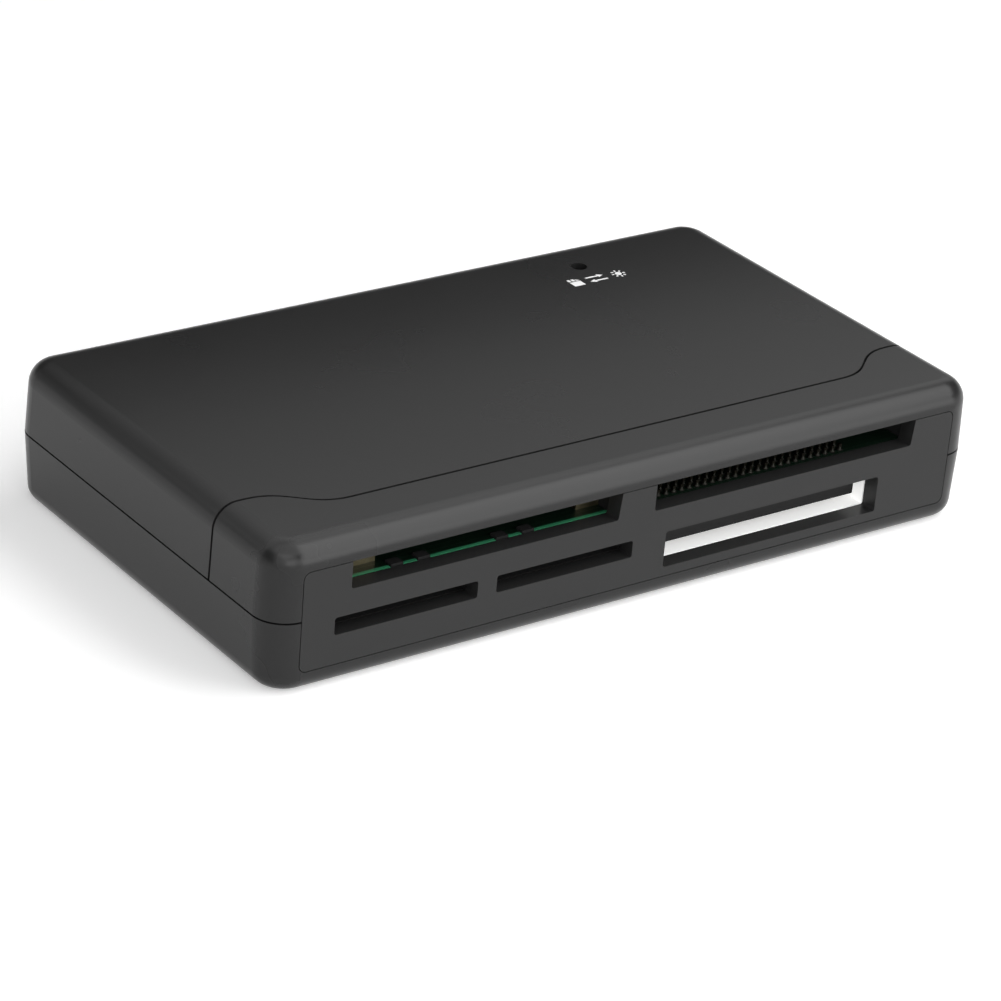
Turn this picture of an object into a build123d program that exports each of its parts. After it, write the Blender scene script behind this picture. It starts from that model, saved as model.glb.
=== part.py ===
from build123d import *
import os
from collections import namedtuple

# Desktop card reader with five card slots in its front plate.
# Millimetres. X runs along the front, Y to the rear, Z up. Origin: bottom centre.

# Card slots in the front plate
wide_slot_width = 40.9
pin_slot_width = 43.5
narrow_slot_width = 21.25
flat_slot_width = 35.8
upper_slot_height = 3.7
narrow_slot_height = 2.4
flat_slot_height = 5.15
slot_corner = 0.35
slot_rake = 0.4

# Lands between the slots, and from the slots to the plate's edges
left_land = 6.95
middle_land = 5.45
right_land = 6.65
narrow_shift = 2.15
narrow_land = 2.9
flat_land = 5.35
foot_land = 1.3

# Case walls and edges
wall = 1.8
corner_radius = 4.4
top_round = 3.25
bottom_round = 2.4
top_band = 3.5
seam_height = 9.85
upper_lean = 0.37
lower_lean = 0.5

# Joints between the case mouldings
seam_gap = 0.25
tongue_height = 1.2
tongue_share = 0.5
tongue_clearance = 0.1
cover_lip = 2.0
wave_gap = 0.4
wave_front = 9.0
wave_side = 14.25
wave_edge = 4.7
wave_run = 12.0

# Front plate
panel_thickness = 2.5
panel_radius = 1.0
panel_gap = 0.1
panel_flange = 0.8

# Heights of the stack, from the case floor up
tray_lift = 1.65
tray_floor = 0.8
socket_roof = 1.9
board_thickness = 1.6

# Depths, from the front plate to the rear
board_gap = 0.2
pin_travel = 24.5
header_depth = 7.0
rear_bay = 29.8
board_margin = 0.5
board_corner = 2.0

# Screws and the posts that take them
screw_inset = 6.1
screw_rear = 6.4
screw_pitch = 25.0
post_radius = 3.3
cover_post_radius = 2.4
screw_diameter = 2.0
screw_play = 0.2
screw_head = 4.0
screw_head_height = 1.6
head_bore = 4.8
head_seat = 5.0
screw_reach = 4.6
screw_point = 0.5
recess_length = 2.4
recess_width = 0.7
recess_depth = 0.6
post_web = 1.2

# Pin-card socket
rail = 1.6
rail_height = 4.6
rail_lip = 0.9
rail_lip_thickness = 0.8
header_height = 5.0
pin_pitch = 1.27
pin_columns = 25
pin_size = 0.45
pin_reach = 5.0
pin_row_height = 1.3
pin_tail = 1.2

# Wide-card socket
wide_rail = 1.4
wide_rail_height = 3.9
wide_travel = 22.0
wide_bar = 4.0
wide_contacts = 11
wide_contact_pitch = 3.2
left_spring = 6.6
right_spring = 3.6
spring_setback = 2.2
spring_height = 1.7
spring_thickness = 0.3

# Narrow-card sockets
narrow_side = 1.3
narrow_floor = 1.0
narrow_depth = 20.0
narrow_back = 2.0
narrow_chamfer = 0.5
narrow_contacts = 10
narrow_contact_pitch = 1.8
peg_width = 1.8
peg_depth = 1.4
peg_play = 0.1
peg_rise = 0.3
peg_spacing = 4.0
left_peg_shift = 12.6
right_peg_shift = 4.3

# Flat-card socket
tray_side = 1.2
tray_depth = 24.0
bar_clear = 1.8
bar_depth = 3.6
bar_chamfer = 0.2
bar_end_gap = 1.9
tail_rise = 0.9
tail_setback = 0.8
flat_contacts = 9
flat_contact_pitch = 3.4

# Contact strips shared by the sockets
strip_width = 0.8
strip_thickness = 0.2
strip_length = 7.0
strip_drop = 0.7

# Rear connector
usb_width = 7.7
usb_height = 4.0
usb_length = 9.2
usb_sheet = 0.35
usb_mouth_gap = 0.3
usb_shoulder = 1.5
usb_taper = 0.6
usb_round = 0.5
usb_tongue_width = 3.8
usb_tongue_height = 1.0
usb_tongue_length = 7.4
usb_tongue_chamfer = 0.25
usb_contacts = 5
usb_contact_pitch = 0.8
usb_contact_width = 0.4
usb_hole_margin = 1.0
usb_hole_round = 1.2

# Parts on the board
led_inset = 26.7
led_rear = 8.5
led_hole = 2.4
led_diameter = 3.0
led_dome = 1.35
led_flange = 3.5
led_flange_height = 1.0
led_gap = 0.15
parts_row = 15.0
chip_size = 7.0
chip_height = 1.4
chip_offset = 15.0
leg_pitch = 0.5
leg_count = 12
leg_width = 0.24
leg_reach = 1.0
leg_sheet = 0.15
leg_bend = 0.45
leg_shoulder = 0.8
crystal_length = 10.4
crystal_width = 4.4
crystal_height = 3.4
crystal_offset = 10.0
regulator_size = (4.5, 2.5, 1.5)
regulator_tab = 1.0
regulator_tab_width = 2.2
regulator_chamfer = 0.25
regulator_offset = 20.5
can_diameter = 5.0
can_height = 3.9
can_base = 5.2
can_base_cut = 1.0
can_base_height = 0.7
can_inset = 19.8
can_spacing = 7.5
chip_part_size = (1.6, 0.8, 0.5)
chip_part_pitch = 4.0
chip_part_count = 10
chip_part_row = 22.5

# Worked-out plan: the slots set the plate, and the plate sets the case
panel_width = left_land + wide_slot_width + middle_land + pin_slot_width + right_land
panel_half = panel_width / 2
case_width = panel_width + 2 * corner_radius
half_width = case_width / 2
case_depth = panel_thickness + board_gap + pin_travel + header_depth + rear_bay
front = -case_depth / 2
rear = case_depth / 2
panel_back = front + panel_thickness
socket_mouth = panel_back + board_gap

# Worked-out heights
tray_bottom = wall + tray_lift
flat_bottom = tray_bottom + tray_floor
lower_top = flat_bottom + flat_slot_height
board_bottom = lower_top + socket_roof
board_top = board_bottom + board_thickness
panel_top = board_top + upper_slot_height
panel_bottom = flat_bottom - foot_land
case_height = panel_top + top_band
ceiling = case_height - wall

# The five slots as rectangles in the front plate
Slot = namedtuple("Slot", "left right bottom top rake")
wide_left = -panel_half + left_land
wide_slot = Slot(wide_left, wide_left + wide_slot_width, board_top, panel_top, slot_rake)
pin_left = wide_slot.right + middle_land
pin_slot = Slot(pin_left, pin_left + pin_slot_width, board_top, panel_top, slot_rake)
narrow_left = wide_left - narrow_shift
narrow_bottom = lower_top - narrow_slot_height
left_slot = Slot(narrow_left, narrow_left + narrow_slot_width, narrow_bottom, lower_top, 0)
next_left = left_slot.right + narrow_land
right_slot = Slot(next_left, next_left + narrow_slot_width, narrow_bottom, lower_top, 0)
flat_left = right_slot.right + flat_land
flat_slot = Slot(flat_left, flat_left + flat_slot_width, flat_bottom, lower_top, 0)

screw_x = half_width - screw_inset
screw_y = rear - screw_rear
screw_places = [(side * screw_x, screw_y - row * screw_pitch) for side in (-1, 1) for row in (0, 1)]
parts_y = rear - parts_row


# Helpers that put flat outlines in place

def along_y(outline, y0, y1):
    """An outline drawn in X and Z, as a prism from y0 to y1."""
    return extrude(Plane.XZ.offset(-y1) * outline, y1 - y0)


def along_x(outline, x0, x1):
    """An outline drawn in Y and Z, as a prism from x0 to x1."""
    return extrude(Plane.YZ.offset(x0) * outline, x1 - x0)


def block(x0, x1, y0, y1, z0, z1):
    """A block between three pairs of limits."""
    middle = ((x0 + x1) / 2, (y0 + y1) / 2, (z0 + z1) / 2)
    return Pos(*middle) * Box(x1 - x0, y1 - y0, z1 - z0)


def post(x, y, radius, z0, z1):
    """An upright cylinder."""
    return Pos(x, y, (z0 + z1) / 2) * Cylinder(radius, z1 - z0)


def polygon(points):
    """A flat face through points given in order."""
    return make_face(Polyline(*points, close=True))


def centred(count, pitch):
    """Places of a row of count things about zero."""
    return [(index - (count - 1) / 2) * pitch for index in range(count)]


# Case form: two drafted halves that meet at the seam

def case_half(inset, upper):
    """One half of the case form, drawn in by inset on every side."""
    full = case_height if upper else 0
    end = full - inset if upper else full + inset
    lean = (upper_lean if upper else lower_lean) * (end - seam_height) / (full - seam_height)
    side, back = half_width - inset, rear - inset
    across = polygon([(-side, seam_height), (side, seam_height), (side - lean, end), (-side + lean, end)])
    along = polygon([(-back, seam_height), (back, seam_height), (back - lean, end), (-back, end)])
    form = along_y(across, -back, back) & along_x(along, -side, side)
    uprights = form.edges().sort_by(SortBy.LENGTH)[:4]
    form = fillet(uprights, corner_radius - inset)
    rim = form.faces().sort_by(Axis.Z)[-1 if upper else 0].edges()
    return fillet(rim, (top_round if upper else bottom_round) - inset)


def front_region(shift):
    """Everything in front of the wave line, with the line moved back by shift."""
    middle_y = front + wave_front + shift
    side_y = front + wave_side + shift
    outer = half_width - wave_edge
    inner = outer - wave_run
    turn = (outer + inner) / 2
    past = half_width + case_depth
    swing = Bezier((inner, middle_y), (turn, middle_y), (turn, side_y), (outer, side_y))
    line = Curve() + [
        Line((-inner, middle_y), (inner, middle_y)),
        swing,
        mirror(swing, Plane.YZ),
        Polyline((outer, side_y), (past, side_y), (past, front - past), (-past, front - past),
                 (-past, side_y), (-outer, side_y)),
    ]
    return extrude(make_face(line), case_height + wall)


def slab(z0, z1):
    """A slice right across the case between two heights."""
    return block(-case_width, case_width, -case_depth, case_depth, z0, z1)


def panel_blank(grow, back):
    """The front plate without slots: face in the opening, flange behind the case wall."""
    height = panel_top - panel_bottom
    middle = Pos(0, (panel_top + panel_bottom) / 2)
    face = RectangleRounded(panel_width + 2 * grow, height + 2 * grow, panel_radius + grow)
    over = grow + panel_flange
    flange = RectangleRounded(panel_width + 2 * over, height + 2 * over, panel_radius + over)
    return along_y(middle * face, front, back) + along_y(middle * flange, front + wall, back)


def slot_cut(slot):
    """A slot's outline; an upper slot runs out through the plate's top edge."""
    top = slot.top + 2 * panel_flange if slot.top == panel_top else slot.top
    lean = slot.rake * (top - slot.bottom) / (slot.top - slot.bottom)
    right = slot.right - slot.rake
    outline = polygon([(slot.left, slot.bottom), (right, slot.bottom),
                       (right + lean, top), (slot.left, top)])
    return fillet(outline.vertices(), slot_corner)


def front_panel():
    """Front plate with five slots, held by its flange behind the case wall."""
    cuts = [along_y(slot_cut(slot), front - wall, panel_back + wall)
            for slot in (wide_slot, pin_slot, left_slot, right_slot, flat_slot)]
    return panel_blank(0, panel_back) - cuts


def panel_room():
    """What the case gives up to the front plate: its opening and a groove for the flange."""
    return panel_blank(panel_gap, panel_back) + along_y(
        Pos(0, (panel_top + panel_bottom) / 2)
        * RectangleRounded(panel_width, panel_top - panel_bottom, panel_radius),
        front - wall, front)


def upper_shell():
    """Upper half of the case, hollow, with the rebate that drops over the tongue."""
    inner = case_half(wall, True)
    rebate = case_half(wall * tongue_share, True) & slab(seam_height, seam_height + tongue_height)
    return case_half(0, True) - inner - rebate - slab(seam_height - wall, seam_height + seam_gap)


def usb_hole():
    """Opening in the rear wall for the lead's plug."""
    outline = RectangleRounded(usb_width + 2 * usb_hole_margin,
                               usb_height + 2 * usb_hole_margin, usb_hole_round)
    return along_y(Pos(0, board_top + usb_height / 2) * outline, rear - 2 * wall, rear + wall)


def top_cover(shell):
    """Rear cover, with a lip that hooks under the bezel, posts for the screws and the lamp hole."""
    skin = case_half(wall * tongue_share + tongue_clearance, True) - case_half(wall, True)
    reach = front_region(wave_gap + wall) - front_region(tongue_clearance - cover_lip)
    clear_of_tongue = slab(seam_height + tongue_height + tongue_clearance, case_height)
    lip = skin & reach & clear_of_tongue
    posts = [post(x, y, cover_post_radius, board_top, ceiling + wall / 2) for x, y in screw_places]
    pilot = (screw_diameter + screw_play) / 2
    bores = [post(x, y, pilot, board_top, board_top + screw_reach + screw_play)
             for x, y in screw_places]
    led_x, led_y = half_width - led_inset, rear - led_rear
    lamp_hole = post(led_x, led_y, led_hole / 2, ceiling - wall, case_height + wall)
    return (shell - front_region(wave_gap)) + [lip, *posts] - [*bores, usb_hole(), lamp_hole]


def front_bezel(shell):
    """Front top moulding, in front of the wave line, undercut for the cover's lip."""
    undercut = case_half(wall * tongue_share, True) - front_region(-cover_lip)
    return (shell & front_region(0)) - [undercut, panel_room()]


def bottom_shell():
    """Tray of the case, with a tongue round its rim, screw posts and ribs for the card tray."""
    ring = case_half(wall * tongue_share + tongue_clearance, True) - case_half(wall, True)
    tongue = ring & slab(seam_height, seam_height + tongue_height)
    posts = [post(x, y, post_radius, wall / 2, board_bottom) for x, y in screw_places]
    core = case_half(wall / 2, False)
    webs = [core & block(min(x, 2 * x), max(x, 2 * x), y - post_web / 2, y + post_web / 2,
                         wall / 2, seam_height) for x, y in screw_places]
    middle = (flat_slot.left + flat_slot.right) / 2
    ribs = [block(x - post_web / 2, x + post_web / 2, socket_mouth + tray_side,
                  socket_mouth + tray_depth, wall / 2, tray_bottom)
            for x in (flat_slot.left, middle, flat_slot.right)]
    shank_bore = (screw_diameter + screw_play) / 2
    bores = [post(x, y, shank_bore, 0, board_bottom) for x, y in screw_places]
    bores += [post(x, y, head_bore / 2, -wall, head_seat) for x, y in screw_places]
    hollow = case_half(0, False) - case_half(wall, False)
    return hollow + [tongue, *posts, *webs, *ribs] - [*bores, panel_room()]


def case_screws():
    """Four self-tapping screws, sunk in the bottom posts."""
    tip = board_top + screw_reach
    cross = [Box(recess_length, recess_width, 2 * recess_depth),
             Box(recess_width, recess_length, 2 * recess_depth)]
    screws = []
    for x, y in screw_places:
        head = post(x, y, screw_head / 2, head_seat - screw_head_height, head_seat)
        head = chamfer(head.edges().sort_by(Axis.Z)[0], recess_depth)
        shank = post(x, y, screw_diameter / 2, head_seat, tip)
        shank = chamfer(shank.edges().sort_by(Axis.Z)[-1], screw_point)
        recess = [Pos(x, y, head_seat - screw_head_height) * bar for bar in cross]
        screws.append(head + shank - recess)
    return Compound(screws)


# Circuit board and its sockets

def narrow_pegs(slot, shift, play, bottom, top):
    """The two locating pegs of a narrow-card socket, grown by play for their notches."""
    half = peg_width / 2 + play
    return [block(slot.left + shift + offset - half, slot.left + shift + offset + half,
                  socket_mouth, socket_mouth + peg_depth + play, bottom, top)
            for offset in (-peg_spacing / 2, peg_spacing / 2)]


def tail_places():
    """Places of the two rows of solder tails above the flat-card bar."""
    first = flat_slot.left + tail_setback
    rows = (socket_mouth + tail_setback, socket_mouth + tail_setback + pin_pitch)
    return [(first + column * pin_pitch, y) for y in rows for column in range(pin_columns)]


def circuit_board():
    """Board between the posts, with screw holes, peg notches and rows of tail holes."""
    half = half_width - wall - board_margin
    back = rear - wall - board_margin
    outline = Pos(0, (socket_mouth + back) / 2) * RectangleRounded(
        2 * half, back - socket_mouth, board_corner)
    board = Pos(0, 0, board_bottom) * extrude(outline, board_thickness)
    over, under = board_top + wall, board_bottom - wall
    holes = [post(x, y, (screw_diameter + 2 * screw_play) / 2, under, over) for x, y in screw_places]
    for slot, shift in ((left_slot, left_peg_shift), (right_slot, right_peg_shift)):
        holes += narrow_pegs(slot, shift, peg_play, under, over)
    half_pin = pin_size / 2
    holes += [block(x - half_pin, x + half_pin, y - half_pin, y + half_pin, under, over)
              for x, y in tail_places()]
    return board - holes


def pin_rows():
    """Places across and up of the pin-card socket's pins, with the row number."""
    middle = (pin_slot.left + pin_slot.right) / 2
    base = board_top + pin_row_height
    return [(middle + x, base + row * pin_pitch, row)
            for row in (0, 1) for x in centred(pin_columns, pin_pitch)]


def pin_card_pins():
    """Fifty bent pins that run through the header and down to the board."""
    half = pin_size / 2
    face = socket_mouth + pin_travel
    pins = []
    for x, z, row in pin_rows():
        drop = face + header_depth + pin_tail * (row + 0.5)
        outline = polygon([(face - pin_reach, z - half), (drop - half, z - half),
                           (drop - half, board_top), (drop + half, board_top),
                           (drop + half, z + half), (face - pin_reach, z + half)])
        pins.append(along_x(outline, x - half, x + half))
    return Compound(pins)


def pin_card_socket(pins):
    """Header with two card rails, drilled for its pins."""
    face = socket_mouth + pin_travel
    back = face + header_depth
    left, right = pin_slot.left - rail, pin_slot.right + rail
    top = board_top + rail_height
    hook = top - rail_lip_thickness
    header = block(left, right, face, back, board_top, board_top + header_height)
    header = chamfer(header.edges().filter_by(Axis.X).group_by(Axis.Z)[-1], rail_lip_thickness)
    section = polygon([(left, board_top), (left + rail, board_top), (left + rail, hook),
                       (left + rail + rail_lip, hook), (left + rail + rail_lip, top), (left, top)])
    middle = Plane.YZ.offset((left + right) / 2)
    side = along_y(section, socket_mouth, face)
    return header + side + mirror(side, middle) - pins.solids()


def strip(x, root, z, length, drop):
    """A sprung contact strip whose root stands against a wall at root and which dips forwards."""
    outline = polygon([(root, z), (root - length, z - drop), (root - length - drop, z - drop / 2),
                       (root - length - drop, z - drop / 2 + strip_thickness),
                       (root - length, z - drop + strip_thickness), (root, z + strip_thickness)])
    return along_x(outline, x - strip_width / 2, x + strip_width / 2)


def wide_card_socket():
    """Open frame on the board: two rails and a rear contact bar."""
    left, right = wide_slot.left - wide_rail, wide_slot.right + wide_rail
    face = socket_mouth + wide_travel
    top = board_top + wide_rail_height
    bar = block(left, right, face, face + wide_bar, board_top, top)
    bar = chamfer(bar.edges().filter_by(Axis.X).group_by(Axis.Z)[-1], rail_lip_thickness)
    rails = [block(left, left + wide_rail, socket_mouth, face, board_top, top),
             block(right - wide_rail, right, socket_mouth, face, board_top, top)]
    return bar + rails


def wide_card_contacts():
    """Row of sprung strips on the wide-card socket's bar."""
    middle = (wide_slot.left + wide_slot.right) / 2
    root = socket_mouth + wide_travel
    level = board_top + wide_rail_height / 2
    return Compound([strip(middle + x, root, level, strip_length, strip_drop)
                     for x in centred(wide_contacts, wide_contact_pitch)])


def wide_card_springs():
    """Two brass guide springs, one at each end of the wide-card slot."""
    y0 = socket_mouth + spring_setback
    y1 = y0 + spring_thickness
    springs = []
    for ends in ((wide_slot.left, wide_slot.left + left_spring),
                 (wide_slot.right - right_spring, wide_slot.right)):
        upright = block(*ends, y0, y1, board_top, board_top + spring_height)
        foot = block(*ends, y1, y1 + spring_height, board_top, board_top + spring_thickness)
        springs.append(upright + foot)
    return Compound(springs)


def narrow_socket(slot, shift):
    """Box with a card bay, hung under the board and held by two pegs."""
    y1 = socket_mouth + narrow_depth + narrow_back
    left, right = slot.left - narrow_side, slot.right + narrow_side
    body = block(left, right, socket_mouth, y1, slot.bottom - narrow_floor, board_bottom)
    body = chamfer(body.edges().filter_by(Axis.Y).group_by(Axis.Z)[0], narrow_chamfer)
    bay = block(slot.left, slot.right, socket_mouth, socket_mouth + narrow_depth,
                slot.bottom, slot.top)
    return body - bay + narrow_pegs(slot, shift, 0, board_bottom, board_top + peg_rise)


def narrow_contacts_row(slot):
    """Row of sprung strips at the back of a narrow-card bay."""
    middle = (slot.left + slot.right) / 2
    level = slot.top - strip_drop
    return Compound([strip(middle + x, socket_mouth + narrow_depth, level, strip_length, strip_drop)
                     for x in centred(narrow_contacts, narrow_contact_pitch)])


def flat_card_tray():
    """Pale tray of the flat-card slot: floor, two sides and a rear wall, under the board."""
    left, right = flat_slot.left - tray_side, flat_slot.right + tray_side
    y1 = socket_mouth + tray_depth
    body = block(left, right, socket_mouth, y1, tray_bottom, board_bottom)
    room = block(flat_slot.left, flat_slot.right, socket_mouth, y1 - tray_side,
                 flat_bottom, board_bottom)
    return body - room


def flat_card_bar():
    """Contact bar that hangs from the board just behind the front plate."""
    low = flat_bottom + bar_clear
    y1 = socket_mouth + bar_depth
    bar = block(flat_slot.left, flat_slot.right - bar_end_gap, socket_mouth, y1, low, board_bottom)
    return chamfer(bar.edges().filter_by(Axis.X).group_by(Axis.Z)[0], bar_chamfer)


def flat_card_tails():
    """Two rows of solder tails that stand on the bar and come up through the board."""
    half = pin_size / 2
    return Compound([block(x - half, x + half, y - half, y + half,
                           board_bottom, board_top + tail_rise) for x, y in tail_places()])


def flat_card_contacts():
    """Row of sprung strips on the rear wall of the flat-card tray."""
    middle = (flat_slot.left + flat_slot.right) / 2
    root = socket_mouth + tray_depth - tray_side
    level = flat_bottom + bar_clear
    return Compound([strip(middle + x, root, level, strip_length, strip_drop)
                     for x in centred(flat_contacts, flat_contact_pitch)])


# Rear connector

def usb_section(inset):
    """Outline of the connector's mouth: square above, drawn in below."""
    half = usb_width / 2 - inset
    low, high = board_top + inset, board_top + usb_height - inset
    waist = board_top + usb_shoulder
    outline = polygon([(-half, high), (-half, waist), (-half + usb_taper, waist - usb_taper),
                       (-half + usb_taper, low), (half - usb_taper, low),
                       (half - usb_taper, waist - usb_taper), (half, waist), (half, high)])
    return fillet(outline.vertices().group_by(Axis.Y)[-1], usb_round)


def usb_socket_shell():
    """Folded steel shell, open to the rear, closed at its inner end."""
    mouth = rear - wall - usb_mouth_gap - upper_lean
    inner = mouth - usb_length
    return (along_y(usb_section(0), inner, mouth)
            - along_y(usb_section(usb_sheet), inner + usb_sheet, mouth + wall))


def usb_tongue_limits():
    """Length and height limits of the contact tongue."""
    inner = rear - wall - usb_mouth_gap - upper_lean - usb_length + usb_sheet
    low = board_top + usb_height / 2
    return inner, inner + usb_tongue_length, low, low + usb_tongue_height


def usb_socket_tongue():
    """Plastic tongue that carries the contacts, standing on the shell's end wall."""
    y0, y1, z0, z1 = usb_tongue_limits()
    half = usb_tongue_width / 2
    tongue = block(-half, half, y0, y1, z0, z1)
    return chamfer(tongue.faces().sort_by(Axis.Y)[-1].edges(), usb_tongue_chamfer)


def usb_socket_contacts():
    """Five flat contacts under the tongue."""
    y0, y1, z0, _ = usb_tongue_limits()
    half = usb_contact_width / 2
    return Compound([block(x - half, x + half, y0, y1 - usb_tongue_height,
                           z0 - strip_thickness, z0) for x in centred(usb_contacts, usb_contact_pitch)])


# Parts on the board

def access_led():
    """Round lamp that stands on the board under the hole in the cover."""
    x, y = half_width - led_inset, rear - led_rear
    top = ceiling - led_gap
    lens = post(x, y, led_diameter / 2, board_top, top)
    lens = fillet(lens.edges().sort_by(Axis.Z)[-1], led_dome)
    return lens + post(x, y, led_flange / 2, board_top, board_top + led_flange_height)


def controller_chip():
    """Square controller package, lifted a little off the board."""
    body = Pos(chip_offset, parts_y, board_top + leg_sheet + chip_height / 2) * Box(
        chip_size, chip_size, chip_height)
    return chamfer(body.edges().filter_by(Axis.Z), leg_width)


def controller_legs():
    """Gull-wing legs on the package's four sides."""
    half = chip_size / 2
    level = board_top + leg_sheet + leg_shoulder
    low = board_top + leg_sheet
    foot = half + leg_reach
    knee = half + leg_bend
    outline = polygon([(half, level), (knee, level), (knee, low), (foot, low), (foot, board_top),
                       (knee - leg_sheet, board_top), (knee - leg_sheet, level - leg_sheet),
                       (half, level - leg_sheet)])
    row = [along_x(outline, x - leg_width / 2, x + leg_width / 2)
           for x in centred(leg_count, leg_pitch)]
    place = Pos(chip_offset, parts_y)
    return Compound([place * Rot(0, 0, turn) * leg for turn in (0, 90, 180, 270) for leg in row])


def crystal():
    """Flat steel can of the crystal, with a rolled rim."""
    can = Pos(-crystal_offset, parts_y, board_top) * extrude(
        SlotOverall(crystal_length, crystal_width), crystal_height)
    can = chamfer(can.faces().sort_by(Axis.Z)[-1].edges(), leg_bend)
    rim = SlotOverall(crystal_length + leg_bend, crystal_width + leg_bend)
    return can + Pos(-crystal_offset, parts_y, board_top) * extrude(rim, leg_bend)


def regulator():
    """Small regulator with its cooling tab on the board."""
    length, width, height = regulator_size
    x = -regulator_offset
    body = block(x - length / 2, x + length / 2, parts_y - width / 2, parts_y + width / 2,
                 board_top, board_top + height)
    body = chamfer(body.faces().sort_by(Axis.Z)[-1].edges(), regulator_chamfer)
    tab = block(x - regulator_tab_width / 2, x + regulator_tab_width / 2, parts_y + width / 2,
                parts_y + width / 2 + regulator_tab, board_top, board_top + leg_bend)
    return body + tab


def can_places():
    """Places of the two can capacitors."""
    return [-half_width + can_inset + step * can_spacing for step in (0, 1)]


def can_capacitors():
    """Two aluminium can capacitors, each on its base."""
    cans = []
    for x in can_places():
        low = board_top + can_base_height
        can = post(x, parts_y, can_diameter / 2, low, low + can_height)
        cans.append(chamfer(can.edges().sort_by(Axis.Z)[-1], leg_bend))
    return Compound(cans)


def can_bases():
    """Square plastic bases of the can capacitors, with two cut corners."""
    bases = []
    for x in can_places():
        base = block(x - can_base / 2, x + can_base / 2, parts_y - can_base / 2,
                     parts_y + can_base / 2, board_top, board_top + can_base_height)
        corners = base.edges().filter_by(Axis.Z).group_by(Axis.Y)[0]
        bases.append(chamfer(corners, can_base_cut))
    return Compound(bases)


def chip_resistors():
    """Row of chip resistors between the sockets and the larger parts."""
    length, width, height = chip_part_size
    y = rear - chip_part_row
    return Compound([Pos(x, y, board_top + height / 2) * Box(length, width, height)
                     for x in centred(chip_part_count, chip_part_pitch)])


def build():
    """Every piece of the reader by its node name."""
    shell = upper_shell()
    pins = pin_card_pins()
    return {
        "bottom_shell": bottom_shell(),
        "top_cover": top_cover(shell),
        "front_bezel": front_bezel(shell),
        "front_panel": front_panel(),
        "case_screws": case_screws(),
        "circuit_board": circuit_board(),
        "pin_card_socket": pin_card_socket(pins),
        "pin_card_pins": pins,
        "wide_card_socket": wide_card_socket(),
        "wide_card_contacts": wide_card_contacts(),
        "wide_card_springs": wide_card_springs(),
        "narrow_socket_left": narrow_socket(left_slot, left_peg_shift),
        "narrow_contacts_left": narrow_contacts_row(left_slot),
        "narrow_socket_right": narrow_socket(right_slot, right_peg_shift),
        "narrow_contacts_right": narrow_contacts_row(right_slot),
        "flat_card_tray": flat_card_tray(),
        "flat_card_bar": flat_card_bar(),
        "flat_card_tails": flat_card_tails(),
        "flat_card_contacts": flat_card_contacts(),
        "usb_socket_shell": usb_socket_shell(),
        "usb_socket_tongue": usb_socket_tongue(),
        "usb_socket_contacts": usb_socket_contacts(),
        "access_led": access_led(),
        "controller_chip": controller_chip(),
        "controller_legs": controller_legs(),
        "crystal": crystal(),
        "regulator": regulator(),
        "can_capacitors": can_capacitors(),
        "can_bases": can_bases(),
        "chip_resistors": chip_resistors(),
    }


os.makedirs("parts", exist_ok=True)
for name, piece in build().items():
    export_step(piece, f"parts/{name}.step")
print(f"case {case_width:.1f} x {case_depth:.1f} x {case_height:.2f} mm")
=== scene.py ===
"""Looks of a flat desktop card reader with five card slots.

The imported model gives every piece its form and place. This script gives each piece its finish,
adds the solder joints and printed signs that are too fine for the model, and sets the stage.
"""
import logging
import math
from dataclasses import dataclass
from enum import Enum
from typing import Any

import bmesh
import bpy
from mathutils import Matrix, Vector


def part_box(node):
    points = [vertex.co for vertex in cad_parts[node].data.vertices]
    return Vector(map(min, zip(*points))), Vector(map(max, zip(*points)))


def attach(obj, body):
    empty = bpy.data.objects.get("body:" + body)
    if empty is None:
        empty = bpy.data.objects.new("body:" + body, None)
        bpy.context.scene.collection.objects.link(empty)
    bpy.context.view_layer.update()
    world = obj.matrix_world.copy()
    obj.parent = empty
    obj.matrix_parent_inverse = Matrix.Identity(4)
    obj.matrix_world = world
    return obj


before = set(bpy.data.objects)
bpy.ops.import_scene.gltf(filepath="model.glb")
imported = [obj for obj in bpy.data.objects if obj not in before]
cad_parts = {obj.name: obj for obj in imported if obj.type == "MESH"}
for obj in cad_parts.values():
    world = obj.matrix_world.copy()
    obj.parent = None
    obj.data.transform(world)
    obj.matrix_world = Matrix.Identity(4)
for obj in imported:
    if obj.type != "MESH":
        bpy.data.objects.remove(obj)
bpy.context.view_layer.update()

LOG = logging.getLogger("card_reader")
MM = 0.001
BODY = "root"
# Mean level of a noise texture.
NOISE_MIDDLE = 0.5
# Watts that give one square metre of a lamp's face a radiance of 1.
LAMP_POWER = 4.0

Colour = tuple[float, float, float]
Point = tuple[float, float]
Outline = list[Point]


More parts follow.
